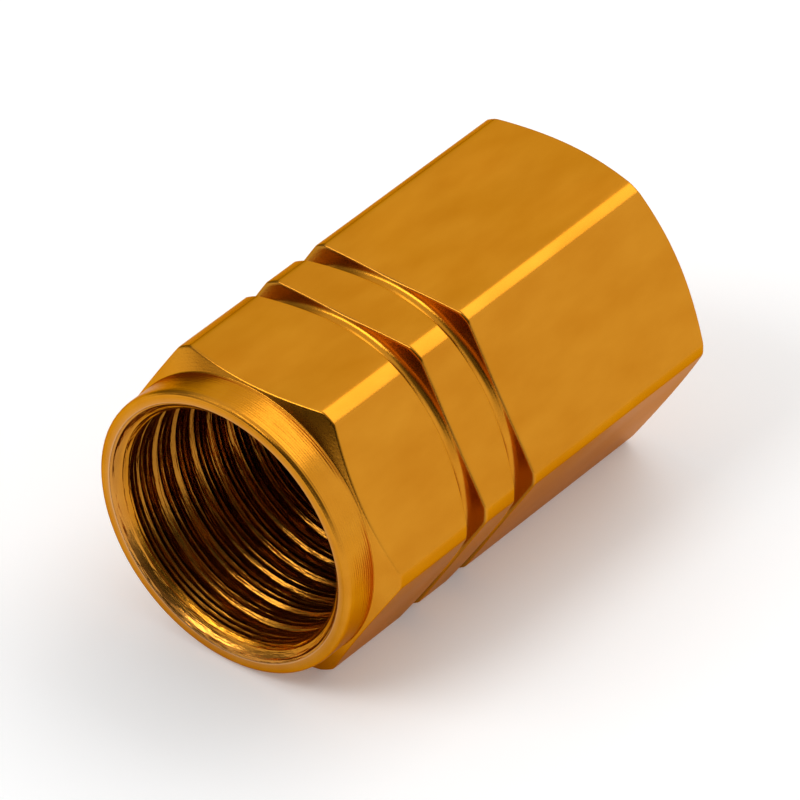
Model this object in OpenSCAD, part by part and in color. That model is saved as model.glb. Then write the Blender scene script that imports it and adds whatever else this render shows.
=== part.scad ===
// Tyre valve cap, turned from one length of hexagonal aluminium bar and anodised,
// with a rubber washer that seals it against the end of the valve stem.
// The bore runs along Y. The mouth is at y = 0 and faces -Y, the closed crown is at +Y.
// The cap lies on one of its six flats, so +Z is up and the lowest flat is level.

/* [Hexagonal bar] */
// Width of the bar across its flats
across_flats = 9.2; // [9:0.05:9.8]
// Diameter over the six corners, which are turned down to narrow bands
corner_d = 10.42; // [10:0.01:11]
// Diameter over the corners in front of the far groove, where the bands are wider
front_corner_d = 10.35; // [10:0.01:11]
// Length of the cap from its mouth to the end of its crown
cap_len = 15.75; // [13:0.05:22]

/* [Neck at the mouth] */
// Diameter of the round neck turned at the mouth
neck_d = 9; // [8.7:0.02:9.1]
// Length of the neck, from the mouth to the start of the shoulder
neck_len = 1.14; // [0.4:0.02:2.4]
// Radius round the outer rim of the neck
rim_r = 0.16; // [0.04:0.01:0.2]
// Slope of the shoulder from the neck up to the flats, measured from the mouth plane
shoulder_angle = 26; // [10:1:50]

/* [Grip grooves] */
// Distance from the mouth to the rear wall of the groove nearer the mouth
near_groove_y = 5.27; // [3.5:0.01:6]
// Distance from the mouth to the rear wall of the groove nearer the crown
far_groove_y = 7.41; // [6.6:0.01:12]
// Diameter of the floor of both grooves
groove_floor_d = 8.84; // [8.3:0.02:9]
// Width of the level floor of both grooves
groove_floor_w = 0.33; // [0.3:0.01:0.8]
// Slope of the front wall of both grooves, measured from the mouth plane
groove_front_angle = 35; // [10:1:50]
// Radius in the corner between the floor and the square rear wall
groove_root_r = 0.24; // [0.04:0.01:0.28]

/* [Crown] */
// Diameter of the flat face that ends the crown
crown_face_d = 8.6; // [6:0.1:9]
// Slope of the chamfer round the crown, measured from the end face
crown_angle = 30; // [10:1:45]

/* [Threaded bore] */
// Diameter of the bored hole, which is the minor diameter of its shallow thread
thread_minor_d = 7.54; // [7.3:0.01:7.65]
// Diameter of the countersink where it opens in the mouth
mouth_d = 8.3; // [7.9:0.02:8.5]
// Included angle of the countersink
countersink_angle = 90; // [60:1:130]
// Depth of the bore from the mouth to the seat of the washer
bore_depth = 9.6; // [8:0.1:11.5]
// Width of the recess behind the thread that holds the washer
recess_w = 1.7; // [1.4:0.05:2.4]
// Diameter of that recess
recess_d = 8; // [7.4:0.05:8.2]

/* [Sealing washer] */
// Thickness of the rubber washer
washer_t = 1.3; // [0.8:0.05:1.35]
// Diameter of the hole in the washer, which clears the valve's pin
washer_hole_d = 3; // [2:0.1:5]
// Clearance all round between the washer and its recess
washer_clearance = 0.1; // [0.05:0.01:0.2]

/* [Hidden] */

// Curves finer than 12 sides are true circles
$fn = 96;
// How far a cutting shape runs past the face that it cuts
overrun = 1;

flats = 6;
half_flats = across_flats / 2;
corner_radius = corner_d / 2;
front_corner_radius = front_corner_d / 2;
// Any radius beyond the bar, for the open side of a cut
outside = half_flats / cos(180 / flats) + overrun;

neck_radius = neck_d / 2;
groove_floor_radius = groove_floor_d / 2;
crown_face_radius = crown_face_d / 2;

thread_minor_radius = thread_minor_d / 2;
mouth_radius = mouth_d / 2;
countersink_depth = (mouth_radius - thread_minor_radius) / tan(countersink_angle / 2);
recess_y = bore_depth - recess_w;

// Turns a shape that was made upright, with its foot at z = 0, to lie along Y
module lay_along_y() {
    rotate([-90, 0, 0])
        children();
}

// Points of an arc round a centre, from one direction to another, in degrees
function arc(centre, radius, from, to, steps = 5) = [
    for (i = [0:steps])
        let (direction = from + (to - from) * i / steps)
            centre + radius * [cos(direction), sin(direction)]
];

// Section of the bar: a hexagon drawn round the origin, with corners on the X axis
module bar_section() {
    circle(r = half_flats / cos(180 / flats), $fn = flats);
}

// Half section that the lathe leaves outside: neck, shoulder, corners and crown
// x is the distance from the axis and y the distance from the mouth
module turned_section() {
    shoulder_end = neck_len + (front_corner_radius - neck_radius) * tan(shoulder_angle);
    crown_start = cap_len - (corner_radius - crown_face_radius) * tan(crown_angle);
    // The two corner diameters meet out of sight, inside the far groove
    step_y = far_groove_y - groove_floor_w / 2;
    polygon(concat(
        [[0, 0]],
        arc([neck_radius - rim_r, rim_r], rim_r, -90, 0),
        [
            [neck_radius, neck_len],
            [front_corner_radius, shoulder_end],
            [front_corner_radius, step_y],
            [corner_radius, step_y],
            [corner_radius, crown_start],
            [crown_face_radius, cap_len],
            [0, cap_len]
        ]
    ));
}

// Half section of one grip groove whose rear wall stands at rear_y
// The front wall slopes, the floor is level, and the rear wall is square to the axis
module groove_section(rear_y) {
    floor_y = rear_y - groove_floor_w;
    front_y = floor_y - (outside - groove_floor_radius) * tan(groove_front_angle);
    root_centre = [groove_floor_radius + groove_root_r, rear_y - groove_root_r];
    polygon(concat(
        [
            [outside, front_y],
            [outside, rear_y]
        ],
        arc(root_centre, groove_root_r, 90, 180),
        [[groove_floor_radius, floor_y]]
    ));
}

// Half section of the bore: countersink, tapping diameter, and washer recess
module bore_section() {
    polygon([
        [0, -overrun],
        [mouth_radius, -overrun],
        [mouth_radius, 0],
        [thread_minor_radius, countersink_depth],
        [thread_minor_radius, recess_y],
        [recess_d / 2, recess_y],
        [recess_d / 2, bore_depth],
        [0, bore_depth]
    ]);
}

// The cap in one piece: hexagonal bar, turned outside and bored from the mouth
module cap_body() {
    color("goldenrod")
        lay_along_y()
            difference() {
                intersection() {
                    linear_extrude(cap_len)
                        bar_section();
                    rotate_extrude()
                        turned_section();
                }
                rotate_extrude()
                    groove_section(near_groove_y);
                rotate_extrude()
                    groove_section(far_groove_y);
                rotate_extrude()
                    bore_section();
            }
}

// Flat rubber ring that lies on the bottom of the bore, behind the thread
module sealing_washer() {
    washer_d = recess_d - 2 * washer_clearance;
    color("dimgray")
        lay_along_y()
            translate([0, 0, bore_depth - washer_t])
                difference() {
                    cylinder(d = washer_d, h = washer_t);
                    translate([0, 0, -overrun])
                        cylinder(d = washer_hole_d, h = washer_t + 2 * overrun);
                }
}

cap_body();
sealing_washer();
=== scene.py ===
# %% [markdown]
# This lesson dresses a tyre valve cap for a studio picture. The cap is turned from a
# hexagonal aluminium bar and anodised gold, and a rubber washer lies inside it.
# The solids come ready made, as the frame: Blender never moves or resizes them.
# Each step says what the real piece or finish is, and why it is made the way it is.

import bpy
import numpy as np
from mathutils import Matrix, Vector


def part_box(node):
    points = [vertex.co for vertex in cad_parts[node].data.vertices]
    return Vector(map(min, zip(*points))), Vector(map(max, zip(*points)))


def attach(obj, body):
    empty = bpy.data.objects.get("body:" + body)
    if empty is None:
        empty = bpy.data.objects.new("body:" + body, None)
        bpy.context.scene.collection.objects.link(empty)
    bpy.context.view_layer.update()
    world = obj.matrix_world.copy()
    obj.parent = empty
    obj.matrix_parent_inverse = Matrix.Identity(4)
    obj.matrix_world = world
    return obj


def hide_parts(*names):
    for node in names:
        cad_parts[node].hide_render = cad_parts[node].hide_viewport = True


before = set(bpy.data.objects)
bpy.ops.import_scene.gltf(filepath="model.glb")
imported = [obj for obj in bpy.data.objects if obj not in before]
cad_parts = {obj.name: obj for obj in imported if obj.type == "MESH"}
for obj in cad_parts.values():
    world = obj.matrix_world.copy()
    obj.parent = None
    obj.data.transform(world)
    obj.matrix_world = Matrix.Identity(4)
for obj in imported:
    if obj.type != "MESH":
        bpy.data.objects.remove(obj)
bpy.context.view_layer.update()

# %% [markdown]
# A turned part is described by its section, the line that the tool follows. The lengths
# that the frame can give are read from it, and the rest repeat the part's own sizes.
# Lengths are in millimetres until the mesh is made, because the drawing's are too, and
# angles are in degrees.

# %% Sizes of the cap
MM = 0.001
body_low, body_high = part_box("cap_body")
cap_len = body_high.y / MM
half_flats = body_high.z / MM
corner_radius = body_high.x / MM

front_corner_radius = 5.175
neck_radius = 4.5
neck_len = 1.14
rim_round = 0.16
shoulder_angle = 26.0

groove_rears = (5.27, 7.41)
groove_floor_radius = 4.42
groove_floor_w = 0.33
groove_front_angle = 35.0
groove_root_round = 0.24

crown_face_radius = 4.3
crown_angle = 30.0

thread_minor_radius = 3.77
thread_depth = 0.105
thread_pitch = 0.794
thread_angle = 60.0
mouth_radius = 4.15
countersink_angle = 90.0
recess_radius = 4.0
recess_w = 1.7
bore_depth = 9.6
recess_y = bore_depth - recess_w

print(f"Cap {cap_len:.2f} mm long, {2 * half_flats:.2f} over its flats")
print(f"and {2 * corner_radius:.2f} over its corners")

# %% [markdown]
# Tumbling before anodising takes the sharpness off every edge that the tool left, and
# most off the edges that a finger meets. The edges can be cut by a Bevel modifier, but here
# each is a short curve in the section, so its size is exact and no edge has to be picked.
# Where a radius is a formula, it is the lower or higher of two, with the kink eased.

# %% Roundness that tumbling leaves
grip_round = 0.08
edge_round = 0.05
band_ease = 0.03
thread_ease = 0.06
print(f"Edges rounded to {grip_round} mm where a finger meets them, and {edge_round} elsewhere")


def smooth_min(a, b, ease):
    """The lower of a and b, with the kink where they cross eased over about that length."""
    return 0.5 * (a + b - np.sqrt((a - b) ** 2 + ease**2))


def smooth_max(a, b, ease):
    """The higher of a and b, with the kink where they cross eased over about that length."""
    return 0.5 * (a + b + np.sqrt((a - b) ** 2 + ease**2))


# %% [markdown]
# The mesh is a grid: its columns stand round the axis and its rows follow the section.
# A hexagon needs most columns at its corners, where a narrow turned band meets two flats,
# and few across a flat. An even spacing would miss the edges of the bands.

# %% Columns round the axis
SIDES = 6
sector = 2 * np.pi / SIDES
# Degrees from a corner: close together on the band and its edges, and wider on the flat
near_corner = np.radians(np.linspace(0.0, 4.2, 13))
on_flat = np.radians([6.0, 8.5, 11.5, 15.0, 18.5, 22.0, 26.0, 30.0])
half_sector = np.concatenate([near_corner, on_flat])
one_sector = np.concatenate([half_sector, sector - half_sector[-2:0:-1]])
angles = (one_sector[None, :] + sector * np.arange(SIDES)[:, None]).ravel()
COLUMNS = len(angles)
print("Columns round the axis:", COLUMNS)


def flat_radius(angle):
    """Distance from the axis to the hexagon.

    It is half the width over the flats, divided by the cosine of the angle from the
    middle of the nearest flat.
    """
    to_flat = np.mod(angle, sector) - sector / 2
    return half_flats / np.cos(to_flat)


def bar_radius(angle, band_radius):
    """The hexagon, or the turned band where that is lower, eased where they meet."""
    return smooth_min(flat_radius(angle), band_radius, band_ease)


# %% [markdown]
# Each column has its own section, because a cone cuts a flat further back at a corner
# than at the middle. That is what gives the scalloped edges of the shoulder, grooves and
# crown. A boolean would find the same edges, but with slivers. Here the crossing points
# are worked out column by column, so a row of the grid runs exactly along each edge.

# %% Rows along an outline
# The most that a curve, and the row beside it that holds the face level, take of a side
CURVE_SHARE, HOLD_SHARE = 0.45, 0.49
CURVE_STEPS = 3
print("Rows for each rounded edge:", CURVE_STEPS + 3)


def section_rows(outline, steps=CURVE_STEPS, hold=1.7):
    """Rows along a line through the points of the outline, each a pair of corner and radius.

    A corner with a radius becomes a curve. It leaves the line at radius * tan(half the
    turn) before the corner or near the middle of a short side, meets it again behind, and
    is the parabola that those two points and the corner define. One more point on each
    side, hold times as far out, keeps the shading of the long faces level.
    """
    corners = [corner for corner, _ in outline]
    rows = [corners[0]]
    for (corner, radius), before, after in zip(outline[1:-1], corners, corners[2:]):
        if radius == 0:
            rows.append(corner)
            continue
        back, on = before - corner, after - corner
        back_len = np.linalg.norm(back[:, :2], axis=1)
        on_len = np.linalg.norm(on[:, :2], axis=1)
        cos_turn = -np.sum(back[:, :2] * on[:, :2], axis=1) / (back_len * on_len)
        reach = radius * np.tan(np.arccos(np.clip(cos_turn, -1, 1)) / 2)
        start_at = np.minimum(reach / back_len, CURVE_SHARE)[:, None]
        end_at = np.minimum(reach / on_len, CURVE_SHARE)[:, None]
        start, end = corner + back * start_at, corner + on * end_at
        rows.append(corner + back * np.minimum(start_at * hold, HOLD_SHARE))
        for t in np.linspace(0, 1, steps + 1):
            rows.append((1 - t) ** 2 * start + 2 * t * (1 - t) * corner + t**2 * end)
        rows.append(corner + on * np.minimum(end_at * hold, HOLD_SHARE))
    rows.append(corners[-1])
    return np.array(rows)


# %% [markdown]
# A third number goes with each point: the turns that the lathe has made when the tool
# gets there, which the finish needs for its feed marks. It is the tool's travel along the
# section over its feed, the advance for each turn. The feed in the bore is drawn coarser
# than a real one, whose marks would be too fine to see there.

# %% Points of a section
FEED, BORE_FEED = 0.08, 0.2
face_travel = mouth_radius - neck_len
print(f"One mark each {FEED} mm outside, and each {BORE_FEED} mm in the bore")


def point(radius, y, travel):
    """One section point for every column: its radius, its y, and the turns of the lathe."""
    return np.stack(np.broadcast_arrays(radius, y, travel / FEED + np.zeros(COLUMNS)), axis=1)


def bore_travel(depth):
    """Travel to a depth in the bore, scaled so that the coarser tool makes one mark a turn."""
    return face_travel + depth * FEED / BORE_FEED


# %% [markdown]
# Two grooves round the cap give the fingers a grip. Each has a square wall towards the
# crown, a curved root, a level floor, and a sloped wall towards the mouth. A flat lies
# nearer the floor at its middle than at its corners, so each wall is worked out column by
# column too, and its edge bends forward there.

# %% Outline of a groove
# The most that the root takes of a low wall, which leaves room to round the wall's edge
ROOT_SHARE = 0.45
ROOT_STEPS = 5
print("Grooves with their square walls at", groove_rears, "mm from the mouth")


def groove(rear_y, rear_radius, front_radius):
    """The outline of a groove: square rear wall, curved root, level floor and sloped front wall.

    The root is an arc about a centre one root radius off wall and floor. Where the flat
    is too low for the whole arc, the wall ends on it, so its edge lies further forward.
    """
    height = rear_radius - groove_floor_radius
    edge_sweep = np.arccos(np.clip(1 - height / groove_root_round, 0, 1))
    edge_y = rear_y - groove_root_round * (1 - np.sin(edge_sweep))
    outline = [(point(rear_radius, edge_y, edge_y + rear_radius), grip_round)]

    sweep = np.arccos(1 - np.minimum(1, ROOT_SHARE * height / groove_root_round))
    for part in np.linspace(1, 0, ROOT_STEPS):
        arc_radius = groove_floor_radius + groove_root_round * (1 - np.cos(sweep * part))
        arc_y = rear_y - groove_root_round * (1 - np.sin(sweep * part))
        outline.append((point(arc_radius, arc_y, arc_y + arc_radius), 0))

    floor_y = rear_y - groove_floor_w
    floor_travel = floor_y + groove_floor_radius
    climb = front_radius - groove_floor_radius
    front_y = floor_y - climb * np.tan(np.radians(groove_front_angle))
    outline.append((point(groove_floor_radius, floor_y, floor_travel), edge_round))
    outline.append((point(front_radius, front_y, floor_travel - climb), edge_round))
    return outline


# %% [markdown]
# The outline starts at the middle of the crown and runs along the outside, round the
# mouth and down the countersink, to where the thread starts. The corners behind the far
# groove are turned down a little less than those in front of it, so the bar has two radii.

# %% Outline of the outside
# Radius of the innermost ring of the grid, and the plain land before the thread
pole_radius = 0.4
plain_land = 0.06

bar = bar_radius(angles, corner_radius)
front_bar = bar_radius(angles, front_corner_radius)
crown_y = cap_len - (bar - crown_face_radius) * np.tan(np.radians(crown_angle))
shoulder_y = neck_len + (front_bar - neck_radius) * np.tan(np.radians(shoulder_angle))
countersink_slope = np.tan(np.radians(countersink_angle / 2))
countersink_depth = (mouth_radius - thread_minor_radius) / countersink_slope
thread_start_y = countersink_depth + plain_land

outside = [
    (point(pole_radius, cap_len, pole_radius), 0),
    (point(crown_face_radius, cap_len, crown_face_radius), edge_round),
    (point(bar, crown_y, bar), edge_round),
    *groove(groove_rears[1], bar, front_bar),
    *groove(groove_rears[0], front_bar, front_bar),
    (point(front_bar, shoulder_y, front_bar), grip_round),
    (point(neck_radius, neck_len, neck_radius), edge_round),
    (point(neck_radius, 0.0, neck_radius - neck_len), rim_round),
    (point(mouth_radius, 0.0, face_travel), edge_round),
    (point(thread_minor_radius, countersink_depth, bore_travel(countersink_depth)), edge_round),
    (point(thread_minor_radius, thread_start_y, bore_travel(thread_start_y)), 0),
]
outside_rows = section_rows(outside)
print("Points in the outline:", len(outside), "and rows of the grid:", len(outside_rows))

# %% [markdown]
# The thread that takes the valve is 60 degrees in section and 32 turns to the inch, cut
# right-handed and shallow: broad crests, and narrow grooves with rounded edges. It could
# be a Screw modifier on a small profile and a boolean. Here the bore's radius is a formula
# of angle and depth, which needs no boolean and has no slivers.

# %% Radius of the threaded bore
# Where a crest crosses angle zero, in millimetres, and half a groove's root, in pitches
crest_y = 0.717
root_half = 0.08
flank = thread_depth * np.tan(np.radians(thread_angle / 2)) / thread_pitch
crest_half = 0.5 - root_half - flank
# Lengths over which the thread grows behind the countersink and fades before the recess
run_in, run_out = 0.8, 0.8
print(f"Thread {thread_depth:.3f} mm deep, crests {2 * crest_half:.2f} pitch wide")


def bore_radius(angle, y):
    """Minor radius plus the thread's groove.

    The groove's depth rises along each flank from zero at the crest to full at the root,
    by the distance from the nearest crest in pitches. It grows over the first stretch
    behind the countersink, as a tap's taper leaves it, and fades out before the recess.
    """
    turns = (y - crest_y) / thread_pitch + angle / (2 * np.pi)
    from_crest = np.abs(turns - np.round(turns))
    slope = thread_depth * (from_crest - crest_half) / flank
    cut = smooth_min(smooth_max(slope, 0.0, thread_ease), thread_depth, thread_ease)
    ends = np.minimum((y - thread_start_y) / run_in, (recess_y - y) / run_out)
    fade = np.clip(ends, 0, 1)
    return thread_minor_radius + cut * fade * fade * (3 - 2 * fade)


# %% [markdown]
# The rows of the grid follow the helix, so each edge of the thread is a clean line with
# few triangles. After one turn a row arrives one pitch further along, and the grid is
# closed with that shift. Rows that lie past either end of the thread are pushed back to it.

# %% Rows along the helix
# Places across a pitch, counted in pitches from the middle of a crest: most on the flanks
pitch_samples = np.array([0.2, 0.335, 0.362, 0.385, 0.41, 0.437, 0.465])
pitch_samples = np.concatenate([-pitch_samples[::-1], [0.0], pitch_samples, [0.5]])
PER_PITCH = len(pitch_samples)

first_turn = np.floor((thread_start_y - crest_y) / thread_pitch) - 1
last_turn = np.ceil((recess_y - crest_y) / thread_pitch) + 1
turn_rows = np.arange(first_turn, last_turn + 1)[:, None] + pitch_samples[None, :]
turn_rows = turn_rows.ravel()
helix_y = crest_y + thread_pitch * (turn_rows[:, None] - angles[None, :] / (2 * np.pi))
helix_y = np.clip(helix_y, thread_start_y, recess_y)
helix_r = bore_radius(angles[None, :], helix_y)
helix_rows = np.stack([helix_r, helix_y, bore_travel(helix_y) / FEED], axis=-1)
print("Rows along the helix:", len(helix_rows))

# %% [markdown]
# Behind the thread the bore widens to a recess, where the washer lies on a flat seat. This
# is the rest of the section. All its points, from the crown to the seat, are then one
# array, and the two poles, where the axis leaves the crown and the seat, come last.

# %% Points of the whole skin
last_travel = bore_travel(bore_depth) + recess_radius
inside = [
    (point(thread_minor_radius, recess_y, bore_travel(recess_y)), 0),
    (point(recess_radius, recess_y, bore_travel(recess_y)), edge_round),
    (point(recess_radius, bore_depth, bore_travel(bore_depth)), edge_round),
    (point(pole_radius, bore_depth, last_travel), 0),
]
inside_rows = section_rows(inside)
all_rows = np.concatenate([outside_rows, helix_rows, inside_rows])


def to_space(radius, y, angle):
    """Radius and angle round the Y axis, and distance along it, to points in space."""
    radius, y, angle = np.broadcast_arrays(radius, y, angle)
    return np.stack([radius * np.cos(angle), y, radius * np.sin(angle)], axis=-1)


poles = np.array([[0.0, cap_len, 0.0], [0.0, bore_depth, 0.0]])
points = to_space(all_rows[..., 0], all_rows[..., 1], angles[None, :]).reshape(-1, 3)
points = np.concatenate([points, poles])
crown_pole, seat_pole = len(points) - 2, len(points) - 1
print("Points of the skin:", len(points))

# %% [markdown]
# The rows are joined into one closed skin: crown, outside, mouth, thread, recess and seat.
# Rows of the helix that were pushed back to an end share the end ring's point numbers,
# and triangles that lost an edge that way are dropped. Every edge then has two triangles,
# which a closed solid must have. Bridge Edge Loops can't do this, as it pairs whole rings.

# %% Triangles of the whole skin
def grid_triangles(ids):
    """Two triangles for each cell of a grid of point numbers, without those that share a corner."""
    a, b, c, d = ids[:-1, :-1], ids[:-1, 1:], ids[1:, 1:], ids[1:, :-1]
    both = [np.stack([a, b, c], axis=-1), np.stack([a, c, d], axis=-1)]
    triangles = np.concatenate([t.reshape(-1, 3) for t in both])
    x, y, z = triangles.T
    return triangles[(x != y) & (y != z) & (z != x)]


def closed_seam(ids):
    """Repeats the first column after the last, so that the grid closes round the axis."""
    return np.concatenate([ids, ids[:, :1]], axis=1)


def fan(ring, pole):
    """Triangles from a closed ring of point numbers to one point."""
    return np.stack([ring, np.roll(ring, -1), np.full(len(ring), pole)], axis=1)


ids = np.arange(len(all_rows) * COLUMNS).reshape(-1, COLUMNS)
part_ends = np.cumsum([len(outside_rows), len(helix_rows)])
outside_ids, helix_ids, inside_ids = np.split(ids, part_ends)
helix_ids = np.where(helix_y <= thread_start_y, outside_ids[-1][None, :], helix_ids)
helix_ids = np.where(helix_y >= recess_y, inside_ids[0][None, :], helix_ids)
seam = np.concatenate([np.full(PER_PITCH, helix_ids[0, 0]), helix_ids[:-PER_PITCH, 0]])
helix_ids = np.concatenate([helix_ids, seam[:, None]], axis=1)

skin = np.concatenate([
    fan(outside_ids[0], crown_pole)[:, ::-1],
    grid_triangles(closed_seam(outside_ids)),
    grid_triangles(helix_ids),
    grid_triangles(closed_seam(inside_ids)),
    fan(inside_ids[-1], seat_pole),
])
print("Triangles of the skin:", len(skin))

# %% [markdown]
# Two finishes meet on the cap. The flats are the drawn skin of the bar, and all else was
# cut on the lathe, whose tool leaves one shallow scallop a turn. Soft aluminium tears under
# a tap, so the marks in the bore are rough, and they are drawn coarser than real ones,
# which would be too fine to see. Attributes on the points carry this to the material:
# whether a point lies under the plane of the flat, how many turns the lathe has made
# there, how high the ridges stand, where the mouth's edge is worn and painted paler as a
# highlight, and where painted shade darkens the tapped wall and the square walls of the
# grooves. A texture of rings would not follow the tool round an edge.

# %% Mark what the lathe cut, and where shade and a highlight are painted
# Heights of the ridges in millimetres: on the neck, on the other faces and in the bore
NECK_RIDGE, FINE_RIDGE, BORE_RIDGE = 0.0026, 0.0002, 0.03
SKIN_DEPTH = 0.03
# Width of the mouth's pale edge, which is partly a worn film and partly a painted highlight
WORN_AND_HIGHLIGHT_WIDTH = 0.03
# A point this near a face counts as on it, and one this far off as clear of it
ON_FACE, CLEAR = 0.02, 0.1

row_radius, row_y, row_turns = np.moveaxis(all_rows, -1, 0)
under_flat = half_flats - row_radius * half_flats / flat_radius(angles)[None, :]
turned = np.clip(under_flat / SKIN_DEPTH, 0, 1)
in_bore = (row_radius < mouth_radius - ON_FACE) & (row_y < bore_depth + CLEAR)
ridge = np.where(row_y < neck_len, NECK_RIDGE, FINE_RIDGE)
ridge = np.where(in_bore & (row_y < recess_y), BORE_RIDGE, ridge)
from_mouth_edge = np.hypot(row_radius - mouth_radius, row_y)
# Worn film and painted highlight: a narrow band round the mouth's outer edge, painted paler
worn_and_highlight = np.exp(-((from_mouth_edge / WORN_AND_HIGHLIGHT_WIDTH) ** 2))
from_rear_wall = np.min([np.abs(row_y - rear_y) for rear_y in groove_rears], axis=0)
on_rear_wall = (from_rear_wall < ON_FACE) & (row_radius > groove_floor_radius + CLEAR)
# Painted shade: the tapped bore and the square rear walls of the grooves get a browner gold, where
# shade falls
dull = on_rear_wall | (in_bore & (row_y > thread_start_y + ON_FACE))

# The two values after each array are those of the crown's pole and the seat's
attributes = {
    "turned": np.append(turned, [1.0, 1.0]),
    "revolutions": np.append(row_turns, [0.0, (last_travel + pole_radius) / FEED]),
    "ridge": np.append(ridge * turned, [0.0, 0.0]),
    "worn_and_highlight": np.append(worn_and_highlight, [0.0, 0.0]),
    "dull": np.append(dull, [0.0, 1.0]),
}
print(f"Turned share of the points {np.mean(turned):.2f}, {np.ptp(row_turns):.0f} turns")

# %% [markdown]
# The points and triangles now become a mesh. Blender takes whole arrays with foreach_set,
# which is far quicker than adding faces one by one, and sorts out the edges itself. The
# piece then rides on the part's one body and stands for the plain solid, which hides.

# %% Build the cap
def make_mesh(name, points, triangles, attributes):
    """A mesh object in metres from points in millimetres, shaded smooth, with its attributes.

    The signed volume, the sum of each triangle's volume to the origin, says whether the
    triangles face outwards, and they are all turned round if it is negative.
    """
    used, triangles = np.unique(triangles, return_inverse=True)
    points, triangles = points[used], triangles.reshape(-1, 3)
    a, b, c = (points[triangles[:, k]] for k in range(3))
    volume = np.sum(a * np.cross(b, c)) / 6
    if volume < 0:
        triangles = triangles[:, ::-1]
    mesh = bpy.data.meshes.new(name)
    mesh.vertices.add(len(points))
    mesh.vertices.foreach_set("co", (points * MM).ravel())
    mesh.loops.add(triangles.size)
    mesh.loops.foreach_set("vertex_index", triangles.ravel())
    mesh.polygons.add(len(triangles))
    mesh.polygons.foreach_set("loop_start", np.arange(0, triangles.size, 3))
    mesh.polygons.foreach_set("use_smooth", np.ones(len(triangles), bool))
    for key, values in attributes.items():
        layer = mesh.attributes.new(key, "FLOAT", "POINT")
        layer.data.foreach_set("value", values[used].astype(np.float32))
    mesh.update(calc_edges=True)
    mesh.validate()
    piece = bpy.data.objects.new(name, mesh)
    bpy.context.scene.collection.objects.link(piece)
    sides = [triangles[:, pair] for pair in ([0, 1], [1, 2], [2, 0])]
    shared = np.unique(np.sort(np.concatenate(sides), axis=1), axis=0, return_counts=True)[1]
    print(f"{name}: {len(triangles)} triangles, {np.sum(shared != 2)} open edges")
    print(f"and a volume of {abs(volume):.1f} mm3")
    return piece


cap = make_mesh("valve_cap_body", points, skin, attributes)
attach(cap, "root")
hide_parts("cap_body")

# %% [markdown]
# The washer is a flat ring cut from rubber sheet. It seals on the end of the valve stem,
# and the edge of the recess keeps it from falling out. A ring is a closed outline carried
# round the axis, so its grid closes both ways and needs no poles.

# %% Build the washer
washer_low, washer_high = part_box("sealing_washer")
washer_radius = washer_high.x / MM
washer_front, washer_back = washer_low.y / MM, washer_high.y / MM
washer_hole_radius = 1.5
washer_round = 0.12
WASHER_COLUMNS = 96
washer_angles = np.linspace(0, 2 * np.pi, WASHER_COLUMNS, endpoint=False)


def ring_outline(inner, outer, front, back, radius, steps=5):
    """Outline of the ring's section: a rectangle whose four corners are quarter circles."""
    quarter = np.radians(np.linspace(0, 90, steps + 1))
    centres = [(outer, back, 0), (inner, back, 1), (inner, front, 2), (outer, front, 3)]
    parts = []
    for r, y, quarter_turns in centres:
        inward_r = -1 if r == outer else 1
        inward_y = -1 if y == back else 1
        direction = quarter + quarter_turns * np.pi / 2
        part_r = r + inward_r * radius + radius * np.cos(direction)
        part_y = y + inward_y * radius + radius * np.sin(direction)
        parts.append(np.stack([part_r, part_y], axis=1))
    return np.concatenate(parts)


outline = ring_outline(washer_hole_radius, washer_radius, washer_front, washer_back, washer_round)
washer_points = to_space(outline[:, :1], outline[:, 1:], washer_angles[None, :]).reshape(-1, 3)
washer_ids = np.arange(len(washer_points)).reshape(len(outline), -1)
washer_ids = closed_seam(np.concatenate([washer_ids, washer_ids[:1]]))
washer = make_mesh("sealing_washer_ring", washer_points, grid_triangles(washer_ids), {})
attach(washer, "root")
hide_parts("sealing_washer")

# %% [markdown]
# A material is a small graph of nodes. One function adds a node, sets its inputs, and
# links those that are given another node's output, so each material below reads as a list.
# Colours are written as hex codes, the way a screen shows them, and turned to linear.

# %% Helpers for materials
def linear(hex_code):
    """An sRGB hex colour as linear RGBA: each channel is raised by the sRGB curve."""
    channels = np.array([int(hex_code[k : k + 2], 16) for k in (1, 3, 5)]) / 255
    low, high = channels / 12.92, ((channels + 0.055) / 1.055) ** 2.4
    return (*np.where(channels <= 0.04045, low, high), 1.0)


def add(tree, kind, settings=None, **inputs):
    """Adds a node with its properties, and its inputs: a value, or another node's output.

    An input is named as its socket is, with _ for a space. Where a node has several
    sockets of one name, it is _ and the socket's number, such as _6 and _7 for the two
    colours of a Mix node.
    """
    node = tree.nodes.new(kind)
    for key, value in (settings or {}).items():
        setattr(node, key, value)
    for key, value in inputs.items():
        socket = node.inputs[int(key[1:]) if key[1:].isdigit() else key.replace("_", " ")]
        if isinstance(value, bpy.types.NodeSocket):
            tree.links.new(value, socket)
        else:
            socket.default_value = value
    return node


def new_material(name):
    """An empty material and its tree."""
    material = bpy.data.materials.new(name)
    material.use_nodes = True
    material.node_tree.nodes.clear()
    return material, material.node_tree


print("Middle grey in linear light:", np.round(linear("#808080")[0], 3))

# %% [markdown]
# Gold anodised aluminium: acid opens pores in the metal, dye fills them, and hot water
# seals them. The eye sees metal through a clear dyed film, so highlights are gold and not
# white. The dye takes a little unevenly, in soft patches drawn out along the bar. In the
# tapped bore and on the square walls of the grooves the gold is darkened to brown as painted
# shade, and the sharp edge of the mouth is painted paler, partly as a film worn thin there
# and partly as a painted highlight.

# %% Colour of the dyed film
GOLD = "#D59029"
GOLD_DEEP = "#C07718"
# Painted shade: a browner gold for the tapped bore and the square walls of the grooves
PAINTED_SHADE_GOLD = "#AE7426"
# Paler gold on the mouth's edge: partly a film worn thin, partly a painted highlight
WORN_EDGE_AND_HIGHLIGHT = "#D6A06A"
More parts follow.
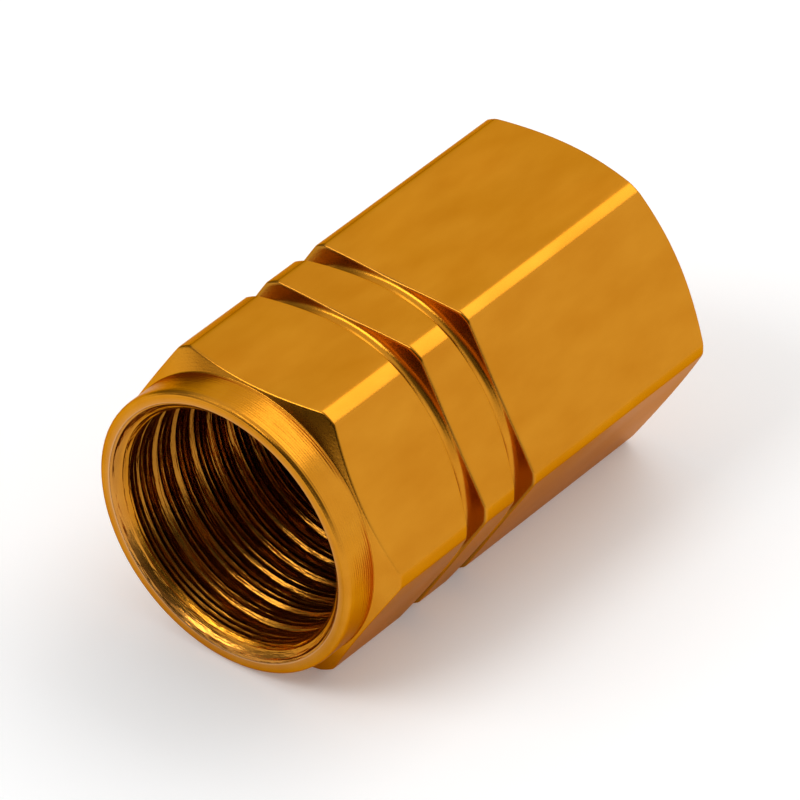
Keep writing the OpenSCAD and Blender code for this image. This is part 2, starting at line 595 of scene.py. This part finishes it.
# Width of a patch in millimetres, and how many times as long it is
PATCH, PATCH_LENGTH = 10 / 11, 2.5
print("Gold from", GOLD, "to", GOLD_DEEP, "and", PAINTED_SHADE_GOLD, "where dull")


def dyed_film(tree, in_mm):
    """Gold that wanders between two tones in patches, then blended to a browner painted shade and
    to a pale edge that is partly worn and partly a painted highlight.
    """
    streaked = add(
        tree, "ShaderNodeMapping", Vector=in_mm.outputs[0], Scale=(1.0, 1 / PATCH_LENGTH, 1.0)
    )
    cloud = add(
        tree, "ShaderNodeTexNoise", Vector=streaked.outputs[0], Scale=1 / PATCH, Detail=3.0
    )
    gold = add(
        tree, "ShaderNodeMix", {"data_type": "RGBA"},
        _0=cloud.outputs["Fac"], _6=linear(GOLD_DEEP), _7=linear(GOLD),
    )
    # Painted shade: the dull attribute blends the gold to a browner one in the bore and on the
    # grooves' square walls
    painted_shade_at = add(tree, "ShaderNodeAttribute", {"attribute_name": "dull"}).outputs["Fac"]
    with_painted_shade = add(
        tree, "ShaderNodeMix", {"data_type": "RGBA"},
        _0=painted_shade_at, _6=gold.outputs[2], _7=linear(PAINTED_SHADE_GOLD),
    )
    # Worn film and painted highlight: the mouth's edge is blended to a paler gold
    worn_and_highlight_at = add(tree, "ShaderNodeAttribute", {"attribute_name": "worn_and_highlight"}).outputs["Fac"]
    with_worn_and_highlight = add(
        tree, "ShaderNodeMix", {"data_type": "RGBA"},
        _0=worn_and_highlight_at, _6=with_painted_shade.outputs[2], _7=linear(WORN_EDGE_AND_HIGHLIGHT),
    )
    return with_worn_and_highlight.outputs[2]


# %% [markdown]
# A lathe tool leaves a scallop a turn: the height rises as the square of the distance
# from the scallop's middle, so a sharp ridge stands between two turns. Where the metal
# tears, the ridge wanders and breaks up. A noise in four dimensions does that: the fourth
# moves on with the turns, by more than a tear's length, so no ridge repeats the one before.

# %% Rings that the tool left
# Height of the tears in ridges, then the length of a tear and the noise's step for each
# turn, both in millimetres
RAGGEDNESS, TEAR_LENGTH, STEP_PER_TURN = 3.5, 5 / 3, 2.0
print(f"Tears {TEAR_LENGTH:.2f} mm long, up to {RAGGEDNESS * BORE_RIDGE:.2f} mm high in the bore")


def tool_rings(tree, in_mm):
    """Height of the rings in millimetres: the scallop plus its tears, times the ridge's height."""
    turns_at = add(tree, "ShaderNodeAttribute", {"attribute_name": "revolutions"}).outputs["Fac"]
    ridge_at = add(tree, "ShaderNodeAttribute", {"attribute_name": "ridge"}).outputs["Fac"]
    part_turn = add(tree, "ShaderNodeMath", {"operation": "FRACT"}, _0=turns_at)
    from_middle = add(tree, "ShaderNodeMapRange", Value=part_turn.outputs[0], _3=-1.0, _4=1.0)
    scallop = add(
        tree, "ShaderNodeMath", {"operation": "MULTIPLY"},
        _0=from_middle.outputs[0], _1=from_middle.outputs[0],
    )
    along = add(
        tree, "ShaderNodeMath", {"operation": "MULTIPLY"}, _0=turns_at, _1=STEP_PER_TURN
    )
    unsteady = add(
        tree, "ShaderNodeTexNoise", {"noise_dimensions": "4D"},
        Vector=in_mm.outputs[0], W=along.outputs[0], Scale=1 / TEAR_LENGTH, Detail=3.0,
    )
    ragged = add(
        tree, "ShaderNodeMath", {"operation": "MULTIPLY_ADD"},
        _0=unsteady.outputs["Fac"], _1=RAGGEDNESS, _2=scallop.outputs[0],
    )
    rings = add(
        tree, "ShaderNodeMath", {"operation": "MULTIPLY"}, _0=ragged.outputs[0], _1=ridge_at
    )
    return rings.outputs[0]


# %% [markdown]
# The flats keep the skin of the drawn bar under the satin that etching gave them: faint
# lines along it, a fine grain, and slow waves that bend what they mirror. Real lines and
# grain are too fine to see here, and real waves are lower, so all are drawn as large as
# they need to be to show.

# %% Drawn and etched skin
# Spacing of the lines, and how many times as long they are
DRAW_LINE, DRAW_LINE_LENGTH = 0.12, 25.0
GRAIN = 0.06
LINE_SHARE = 0.35
SKIN_HEIGHT = 0.0025
WAVE, WAVE_HEIGHT = 5.0, 0.18
print(f"Lines {DRAW_LINE} mm and grain {GRAIN} mm apart, waves {WAVE} mm long")


def drawn_skin(tree, in_mm, rings):
    """Height in millimetres: the rings, plus a mix of lines and grain, plus the slow waves."""
    stretched = add(
        tree, "ShaderNodeMapping",
        Vector=in_mm.outputs[0], Scale=(1.0, 1 / DRAW_LINE_LENGTH, 1.0),
    )
    lines = add(
        tree, "ShaderNodeTexNoise", Vector=stretched.outputs[0], Scale=1 / DRAW_LINE, Detail=2.0
    )
    grain = add(tree, "ShaderNodeTexNoise", Vector=in_mm.outputs[0], Scale=1 / GRAIN, Detail=1.0)
    skin = add(
        tree, "ShaderNodeMix", _0=LINE_SHARE, _2=grain.outputs["Fac"], _3=lines.outputs["Fac"]
    )
    marks = add(
        tree, "ShaderNodeMath", {"operation": "MULTIPLY_ADD"},
        _0=skin.outputs[0], _1=SKIN_HEIGHT, _2=rings,
    )
    slow = add(tree, "ShaderNodeTexNoise", Vector=in_mm.outputs[0], Scale=1 / WAVE, Detail=1.0)
    height = add(
        tree, "ShaderNodeMath", {"operation": "MULTIPLY_ADD"},
        _0=slow.outputs["Fac"], _1=WAVE_HEIGHT, _2=marks.outputs[0],
    )
    return height.outputs[0]


# %% [markdown]
# Put together, it is a metal with the default index of refraction. The turned faces are
# a little glossier than the etched flats, and at a glancing angle all of them pale. A Bump
# node is enough for marks this low: displacing the mesh would need millions of triangles.

# %% Gold anodised aluminium
GLANCING = "#E8BE8C"
FLAT_ROUGHNESS = 0.30
TURNED_ROUGHNESS = 0.25


def anodised_aluminium():
    """Metal whose roughness follows the two finishes, by the turned attribute."""
    material, tree = new_material("gold_anodised_aluminium")
    where = add(tree, "ShaderNodeTexCoord").outputs["Object"]
    in_mm = add(tree, "ShaderNodeVectorMath", {"operation": "SCALE"}, _0=where, Scale=1 / MM)
    height = drawn_skin(tree, in_mm, tool_rings(tree, in_mm))
    bump = add(tree, "ShaderNodeBump", Distance=1 * MM, Height=height)
    turned_at = add(tree, "ShaderNodeAttribute", {"attribute_name": "turned"}).outputs["Fac"]
    roughness = add(
        tree, "ShaderNodeMapRange", Value=turned_at, _3=FLAT_ROUGHNESS, _4=TURNED_ROUGHNESS
    )
    surface = add(
        tree, "ShaderNodeBsdfPrincipled",
        Base_Color=dyed_film(tree, in_mm), Metallic=1.0, Specular_Tint=linear(GLANCING),
        Roughness=roughness.outputs[0], Normal=bump.outputs[0],
    )
    add(tree, "ShaderNodeOutputMaterial", Surface=surface.outputs[0])
    return material


cap.data.materials.append(anodised_aluminium())
print("The cap wears", cap.data.materials[0].name)

# %% [markdown]
# Black rubber sheet: carbon filled, so nearly black, with the dull skin of the press. It
# scatters light rather than mirrors it, and a fine grain breaks up what sheen there is.

# %% Black rubber
RUBBER = "#1B1B1C"
RUBBER_GRAIN, RUBBER_GRAIN_HEIGHT, RUBBER_GRAIN_STRENGTH = 0.15, 0.02, 0.4
SMOOTHEST, DULLEST = 0.55, 0.75


def black_rubber():
    """A dull, nearly black dielectric with a fine grain."""
    material, tree = new_material("black_pressed_rubber")
    where = add(tree, "ShaderNodeTexCoord").outputs["Object"]
    in_mm = add(tree, "ShaderNodeVectorMath", {"operation": "SCALE"}, _0=where, Scale=1 / MM)
    grain = add(
        tree, "ShaderNodeTexNoise", Vector=in_mm.outputs[0], Scale=1 / RUBBER_GRAIN, Detail=4.0
    )
    bump = add(
        tree, "ShaderNodeBump", Strength=RUBBER_GRAIN_STRENGTH,
        Distance=RUBBER_GRAIN_HEIGHT * MM, Height=grain.outputs["Fac"],
    )
    dull = add(
        tree, "ShaderNodeMapRange", Value=grain.outputs["Fac"], _3=SMOOTHEST, _4=DULLEST
    )
    surface = add(
        tree, "ShaderNodeBsdfPrincipled",
        Base_Color=linear(RUBBER), Roughness=dull.outputs[0], Normal=bump.outputs[0],
    )
    add(tree, "ShaderNodeOutputMaterial", Surface=surface.outputs[0])
    return material


washer.data.materials.append(black_rubber())
print("The washer wears", washer.data.materials[0].name)

# %% [markdown]
# Small bright metal shows mostly what stands round it, so the studio matters as much as
# the metal. The floor is pale and plain. It glows a little for the camera and in
# reflections, so that it reads as white, and it still keeps the cap's soft shadow. It ends
# 90 mm in front of the cap, like a table's edge, and the sloped faces that look level to
# the front mirror the dark beyond it.

# %% Floor
FLOOR_COLOUR = "#F2F2F2"
# How far the floor reaches from the mouth to the sides and back, and to the front, in metres
FLOOR_FAR, FLOOR_FRONT = 1.2, 0.09
FLOOR_GLOW = 0.16


def pale_floor():
    """White diffuse paint with a little glow that only the camera and glossy rays see."""
    material, tree = new_material("pale_floor_paint")
    path = add(tree, "ShaderNodeLightPath")
    seen = add(
        tree, "ShaderNodeMath", {"operation": "MAXIMUM"},
        _0=path.outputs["Is Camera Ray"], _1=path.outputs["Is Glossy Ray"],
    )
    glow = add(tree, "ShaderNodeMath", {"operation": "MULTIPLY"}, _0=seen.outputs[0], _1=FLOOR_GLOW)
    paint = add(tree, "ShaderNodeBsdfDiffuse", Color=linear(FLOOR_COLOUR))
    light = add(tree, "ShaderNodeEmission", Strength=glow.outputs[0])
    both = add(tree, "ShaderNodeAddShader", _0=paint.outputs[0], _1=light.outputs[0])
    add(tree, "ShaderNodeOutputMaterial", Surface=both.outputs[0])
    return material


floor_z = body_low.z
left_x, right_x, front_y, back_y = -FLOOR_FAR, FLOOR_FAR, -FLOOR_FRONT, FLOOR_FAR
corners = [(left_x, front_y), (right_x, front_y), (right_x, back_y), (left_x, back_y)]
floor_mesh = bpy.data.meshes.new("floor")
floor_mesh.from_pydata([(x, y, floor_z) for x, y in corners], [], [(0, 1, 2, 3)])
floor = bpy.data.objects.new("floor", floor_mesh)
bpy.context.scene.collection.objects.link(floor)
floor.data.materials.append(pale_floor())
print(f"Floor {right_x - left_x:.2f} by {back_y - front_y:.2f} m, {floor_z / MM:.2f} mm high")

# %% [markdown]
# The room is white all round, apart from a few places: the camera, a dark screen beside
# it, the dark front of the table and a dull wall on the left, and a window that is
# brighter. Their reflections draw the dark edges and soft changes that make polished metal
# look like metal. They are the world's colour, by direction, which needs no objects that
# could come into view.

# %% White room
WALL = 1.08
# For each place: its direction, the degrees from its middle where it starts to fade and
# where it ends, its brightness, and about how many times as wide as high it is
PLACES = {
    "camera": ((0.44, -0.66, 0.61), (21, 33), 0.03, 1.0),
    "dark screen": ((0.72, -0.32, 0.62), (18, 32), 0.14, 1.0),
    "front of the table": ((0.14, -0.97, 0.20), (32, 44), 0.03, 1.7),
    "left wall": ((-0.98, -0.10, 0.15), (28, 55), 0.25, 1.4),
    "window": ((0.74, 0.61, 0.28), (8, 26), 1.3, 1.0),
}


def place_in_room(tree, way, level, direction, fade_angles, brightness, flatness):
    """Blends the level towards another brightness inside a cone, softly between two angles.

    The cone's weight comes from the dot product of the ray's direction and the cone's.
    Flatness multiplies the height of the ray first, so that the cone is wider than high.
    """
    stretched = add(
        tree, "ShaderNodeVectorMath", {"operation": "MULTIPLY"}, _0=way, _1=(1, 1, flatness)
    )
    unit = add(tree, "ShaderNodeVectorMath", {"operation": "NORMALIZE"}, _0=stretched.outputs[0])
    axis = np.array(direction) / np.linalg.norm(direction)
    facing = add(
        tree, "ShaderNodeVectorMath", {"operation": "DOT_PRODUCT"},
        _0=unit.outputs[0], _1=tuple(axis),
    )
    inner, outer = np.cos(np.radians(fade_angles))
    weight = add(
        tree, "ShaderNodeMapRange", {"interpolation_type": "SMOOTHSTEP"},
        Value=facing.outputs["Value"], _1=outer, _2=inner,
    )
    return add(tree, "ShaderNodeMix", _0=weight.outputs[0], _2=level, _3=brightness).outputs[0]


def white_room():
    """White for the camera, and for all other rays white walls with their places."""
    world = bpy.data.worlds.new("white_room")
    world.use_nodes = True
    tree = world.node_tree
    tree.nodes.clear()
    way = add(tree, "ShaderNodeTexCoord").outputs["Generated"]
    level = WALL
    for place in PLACES.values():
        level = place_in_room(tree, way, level, *place)
    path = add(tree, "ShaderNodeLightPath")
    seen = add(tree, "ShaderNodeMix", _0=path.outputs["Is Camera Ray"], _2=level, _3=1.0)
    light = add(tree, "ShaderNodeBackground", Strength=seen.outputs[0])
    add(tree, "ShaderNodeOutputWorld", Surface=light.outputs[0])
    return world


bpy.context.scene.world = white_room()
print("Places in the room:", ", ".join(PLACES))

# %% [markdown]
# Two soft boxes hang over the table: one behind the cap for the bright bands on its
# corners and neck, and a stronger one in front on the left that shines into the mouth.
# Area lamps give soft edges to shadow and shine, where a point lamp would give hard ones.

# %% Soft boxes
# Height over the cap's axis in metres, then how far each box reaches in x and in y,
# counted in heights, and its brightness
BOX_HEIGHT = 0.30
BOXES = {
    "box_behind": ((-0.42, 0.70), (0.42, 1.20), 1.65),
    "box_front_left": ((-1.10, 0.0), (-1.25, -0.60), 4.4),
}


def soft_box(name, height, reach_x, reach_y, brightness):
    """A rectangular lamp that faces down. Its power is its brightness times pi times its area."""
    lamp = bpy.data.lights.new(name, "AREA")
    lamp.shape = "RECTANGLE"
    lamp.size, lamp.size_y = np.ptp(reach_x) * height, np.ptp(reach_y) * height
    lamp.energy = brightness * np.pi * lamp.size * lamp.size_y
    holder = bpy.data.objects.new(name, lamp)
    holder.location = (np.mean(reach_x) * height, np.mean(reach_y) * height, height)
    bpy.context.scene.collection.objects.link(holder)
    return holder


for name, box in BOXES.items():
    lamp = soft_box(name, BOX_HEIGHT, *box).data
    print(f"{name}: {lamp.size:.2f} by {lamp.size_y:.2f} m, {lamp.energy:.2f} W")

# %% [markdown]
# The camera's place was found by fitting the cap's own edges to the photo: it stands
# 260 mm away, 41 degrees round from the mouth and 36 degrees up, with a long lens. It
# keeps that place here and turns to the middle of the cap, closer in by its lens alone,
# so that the cap has the photo's perspective and fills the picture.

# %% Camera
AZIMUTH, ELEVATION, ROLL = np.radians([41.27, 35.96, -1.0])
DISTANCE = 260.0 * MM
FOCAL_PX = 4500.0
PICTURE_PX = 800.0
MOUTH_PX = (497.3, 618.6)
SENSOR_MM = 36.0
ZOOM = 2.08
NEAREST_SEEN = 10.0 * MM


def camera_axes(azimuth, elevation, roll):
    """Right, up and back of a camera that looks at the origin from there, turned by its roll."""
    level = np.cos(elevation)
    back = np.array([np.sin(azimuth) * level, -np.cos(azimuth) * level, np.sin(elevation)])
    right = np.array([np.cos(azimuth), np.sin(azimuth), 0.0])
    up = np.cross(back, right)
    turned_right = np.cos(roll) * right + np.sin(roll) * up
    turned_up = np.cos(roll) * up - np.sin(roll) * right
    return turned_right, turned_up, back


right, up, back = camera_axes(AZIMUTH, ELEVATION, ROLL)
mouth_across = (MOUTH_PX[0] - PICTURE_PX / 2) * DISTANCE / FOCAL_PX
mouth_up = (PICTURE_PX / 2 - MOUTH_PX[1]) * DISTANCE / FOCAL_PX
eye = back * DISTANCE - right * mouth_across - up * mouth_up

middle = np.array([0.0, 0.5 * cap_len * MM, 0.0])
aimed_back = (eye - middle) / np.linalg.norm(eye - middle)
aimed_up = up - (up @ aimed_back) * aimed_back
aimed_up = aimed_up / np.linalg.norm(aimed_up)
aimed_right = np.cross(aimed_up, aimed_back)

lens = bpy.data.cameras.new("camera")
lens.sensor_width = SENSOR_MM
lens.lens = SENSOR_MM * FOCAL_PX * ZOOM / PICTURE_PX
lens.clip_start = NEAREST_SEEN
camera = bpy.data.objects.new("camera", lens)
stand = np.eye(4)
stand[:3, :3] = np.stack([aimed_right, aimed_up, aimed_back], axis=1)
stand[:3, 3] = eye
camera.matrix_world = Matrix(stand.tolist())
bpy.context.scene.collection.objects.link(camera)
bpy.context.scene.camera = camera
bpy.context.scene.view_settings.view_transform = "Standard"
print(f"Camera {np.linalg.norm(eye - middle) / MM:.0f} mm away, lens {lens.lens:.0f} mm")
